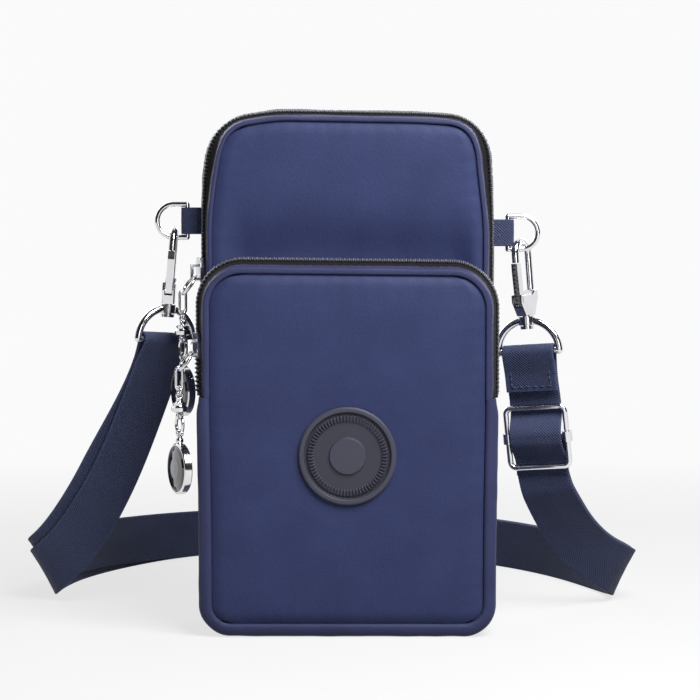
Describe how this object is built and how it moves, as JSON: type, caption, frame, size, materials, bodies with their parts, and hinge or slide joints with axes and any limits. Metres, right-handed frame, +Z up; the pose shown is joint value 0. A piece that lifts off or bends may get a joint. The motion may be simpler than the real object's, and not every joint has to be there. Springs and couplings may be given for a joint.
{
  "type": "phone pouch",
  "caption": "Upright nylon crossbody phone pouch with an arched zip compartment, a zipped front pocket, D-rings, swivel snap clips and an adjustable webbing strap.",
  "frame": {"origin": "under the middle of the bag, on the surface it stands on", "axes": "+Z up along the bag's height, +X to the viewer's right, -Y to the front"},
  "size_m": [0.2433, 0.2306, 0.1925],
  "materials": {
    "panel_nylon": "woven nylon",
    "strip_nylon": "woven nylon binding",
    "webbing": "twill webbing",
    "zip_tape": "woven tape",
    "zip_teeth": "nylon coil",
    "slider_metal": "plated casting",
    "chrome": "polished plate",
    "spring_steel": "drawn wire",
    "badge_rubber": "matt moulding",
    "charm_stone": "polished"
  },
  "bodies": {
    "bag": {"back_panel": "panel_nylon", "divider_panel": "panel_nylon", "pocket_front_panel_lower": "panel_nylon", "main_rear_strip": "strip_nylon", "main_front_strip_legs": "strip_nylon", "main_bottom_gusset": "strip_nylon", "pocket_rear_strip": "strip_nylon", "pocket_bottom_gusset": "strip_nylon", "main_zip_rear_tape": "zip_tape", "main_zip_rear_teeth": "zip_teeth", "main_zip_front_tape_legs": "zip_tape", "main_zip_front_teeth_legs": "zip_teeth", "pocket_zip_rear_tape": "zip_tape", "pocket_zip_rear_teeth": "zip_teeth", "badge": "badge_rubber", "left_tab": "webbing", "right_tab": "webbing", "strap_outer": "webbing", "strap_inner": "webbing"},
    "flap": {"upper_front_panel": "panel_nylon", "main_front_strip_upper": "strip_nylon", "main_zip_front_tape_upper": "zip_tape", "main_zip_front_teeth_upper": "zip_teeth"},
    "pocket_mouth": {"pocket_front_panel_upper": "panel_nylon", "pocket_front_strip": "strip_nylon", "pocket_zip_front_tape": "zip_tape", "pocket_zip_front_teeth": "zip_teeth"},
    "main_slider": {"main_zip_slider": "slider_metal"},
    "main_pull": {"main_pull_chain": "chrome", "main_pull_bead": "chrome", "main_pull_charm_ring": "chrome"},
    "main_charm": {"main_pull_charm_bezel": "chrome", "main_pull_charm_stone": "charm_stone"},
    "pocket_slider": {"pocket_zip_slider": "slider_metal"},
    "pocket_pull": {"pocket_pull_chain": "chrome", "pocket_pull_bead": "chrome", "pocket_pull_charm_ring": "chrome"},
    "pocket_charm": {"pocket_pull_charm_bezel": "chrome", "pocket_pull_charm_stone": "charm_stone"},
    "left_ring": {"left_d_ring": "chrome"},
    "right_ring": {"right_d_ring": "chrome"},
    "left_loop": {"left_strap_loop": "chrome", "strap_left_fold": "webbing"},
    "left_clip": {"left_hook": "chrome", "left_gate_pin": "chrome", "left_gate_spring": "spring_steel", "left_swivel_rivet": "chrome"},
    "left_lever": {"left_gate": "chrome"},
    "right_loop": {"right_strap_loop": "chrome", "strap_right_fold": "webbing"},
    "right_clip": {"right_hook": "chrome", "right_gate_pin": "chrome", "right_gate_spring": "spring_steel", "right_swivel_rivet": "chrome"},
    "right_lever": {"right_gate": "chrome"},
    "buckle": {"buckle_frame": "chrome", "strap_buckle_pass": "webbing"},
    "buckle_slide": {"buckle_bar": "chrome"}
  },
  "joints": [
    {"name": "flap_fold", "type": "hinge", "parent": "bag", "child": "flap", "pos_m": [0, -0.0026, 0.141], "axis": [1, 0, 0], "range_deg": [0, 70]},
    {"name": "pocket_mouth_fold", "type": "hinge", "parent": "bag", "child": "pocket_mouth", "pos_m": [0, -0.0226, 0.087], "axis": [1, 0, 0], "range_deg": [0, 30], "deforming": ["pocket_zip_front_tape"]},
    {"name": "main_slider_run", "type": "slide", "parent": "bag", "child": "main_slider", "axis": [0, 0, 1], "range_m": [-0.036, 0.01], "deforming": ["main_zip_rear_teeth", "main_zip_front_teeth_legs", "main_zip_front_teeth_upper"]},
    {"name": "main_pull_lift", "type": "hinge", "parent": "main_slider", "child": "main_pull", "pos_m": [-0.05673, 0.00664, 0.13065], "axis": [0, 1, 0], "range_deg": [0, 6]},
    {"name": "main_charm_swing", "type": "hinge", "parent": "main_pull", "child": "main_charm", "pos_m": [-0.06127, 0.00543, 0.10068], "axis": [1, 0, 0], "range_deg": [-20, 10]},
    {"name": "pocket_slider_run", "type": "slide", "parent": "bag", "child": "pocket_slider", "axis": [0, 0, 1], "range_m": [-0.008, 0.01], "deforming": ["pocket_zip_rear_teeth", "pocket_zip_front_teeth"]},
    {"name": "pocket_pull_lift", "type": "hinge", "parent": "pocket_slider", "child": "pocket_pull", "pos_m": [-0.05673, -0.01336, 0.10365], "axis": [0, 1, 0], "range_deg": [0, 55]},
    {"name": "pocket_charm_swing", "type": "hinge", "parent": "pocket_pull", "child": "pocket_charm", "pos_m": [-0.06127, -0.01457, 0.07368], "axis": [1, 0, 0], "range_deg": [-25, 25]},
    {"name": "left_ring_turn", "type": "hinge", "parent": "bag", "child": "left_ring", "pos_m": [-0.0602, 0.0164, 0.151], "axis": [0, 0, 1], "range_deg": [-10, 10]},
    {"name": "right_ring_turn", "type": "hinge", "parent": "bag", "child": "right_ring", "pos_m": [0.0602, 0.0164, 0.1465], "axis": [0, 0, 1], "range_deg": [-8, 4]},
    {"name": "left_clip_swing", "type": "hinge", "parent": "bag", "child": "left_loop", "pos_m": [-0.0652, 0.0164, 0.1448], "axis": [1, 0, 0], "range_deg": [-6, 6], "deforming": ["strap_outer", "strap_inner", "strap_left_fold", "strap_right_fold", "strap_buckle_pass"]},
    {"name": "left_swivel", "type": "hinge", "parent": "left_loop", "child": "left_clip", "pos_m": [-0.0652, 0.0164, 0.1448], "axis": [0.0872, 0, 0.9962], "range_deg": [-20, 20]},
    {"name": "left_gate_open", "type": "hinge", "parent": "left_clip", "child": "left_lever", "pos_m": [-0.06693, 0.0126, 0.12498], "axis": [-0.9962, 0, 0.0872], "range_deg": [0, 20], "stiffness_Nm_per_rad": 0.01, "deforming": ["left_gate_spring"]},
    {"name": "right_clip_swing", "type": "hinge", "parent": "bag", "child": "right_loop", "pos_m": [0.0652, 0.0164, 0.1403], "axis": [1, 0, 0], "range_deg": [-4, 4]},
    {"name": "right_swivel", "type": "hinge", "parent": "right_loop", "child": "right_clip", "pos_m": [0.0652, 0.0164, 0.1403], "axis": [-0.0785, 0, 0.9969], "range_deg": [-3, 30]},
    {"name": "right_gate_open", "type": "hinge", "parent": "right_clip", "child": "right_lever", "pos_m": [0.0646, 0.01328, 0.12029], "axis": [-0.8194, 0.5696, -0.0645], "range_deg": [0, 20], "stiffness_Nm_per_rad": 0.01, "deforming": ["right_gate_spring"]},
    {"name": "buckle_run", "type": "slide", "parent": "bag", "child": "buckle", "axis": [0.1111, 0.0912, -0.9896], "range_m": [-0.002, 0.004]},
    {"name": "buckle_bar_slide", "type": "slide", "parent": "buckle", "child": "buckle_slide", "axis": [0.1111, 0.0912, -0.9896], "range_m": [-0.0015, 0.0015]}
  ]
}
